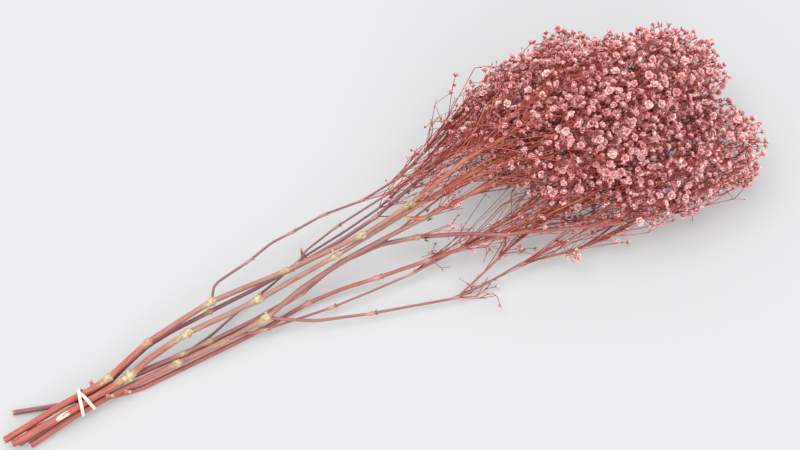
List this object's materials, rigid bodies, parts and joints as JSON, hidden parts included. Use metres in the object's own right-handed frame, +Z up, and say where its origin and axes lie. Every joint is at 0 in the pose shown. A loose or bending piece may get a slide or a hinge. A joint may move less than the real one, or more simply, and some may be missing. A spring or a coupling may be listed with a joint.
{
  "type": "tied bunch of dried gypsophila stems",
  "caption": "Tied bunch of dried, dyed gypsophila stems lying flat, with branching sprays of small double flowers and a wound rubber band.",
  "frame": {"origin": "on the table, under the middle of the bunch's box", "axes": "+X from the cut ends to the flower tips, +Y to the far side of the bunch as the picture shows it, +Z up from the table"},
  "size_m": [0.6279, 0.1869, 0.1035],
  "materials": {
    "stem": "dry, matt, dyed brick red with tan joints",
    "flower": "dry papery petals, dusty pink with pale edges",
    "band": "smooth, satin, cream"
  },
  "bodies": {
    "root": {"stem_A": "stem", "stem_B": "stem", "stem_C": "stem", "stem_D": "stem", "stem_E": "stem", "stem_F": "stem", "tie": "band"}
  },
  "joints": []
}
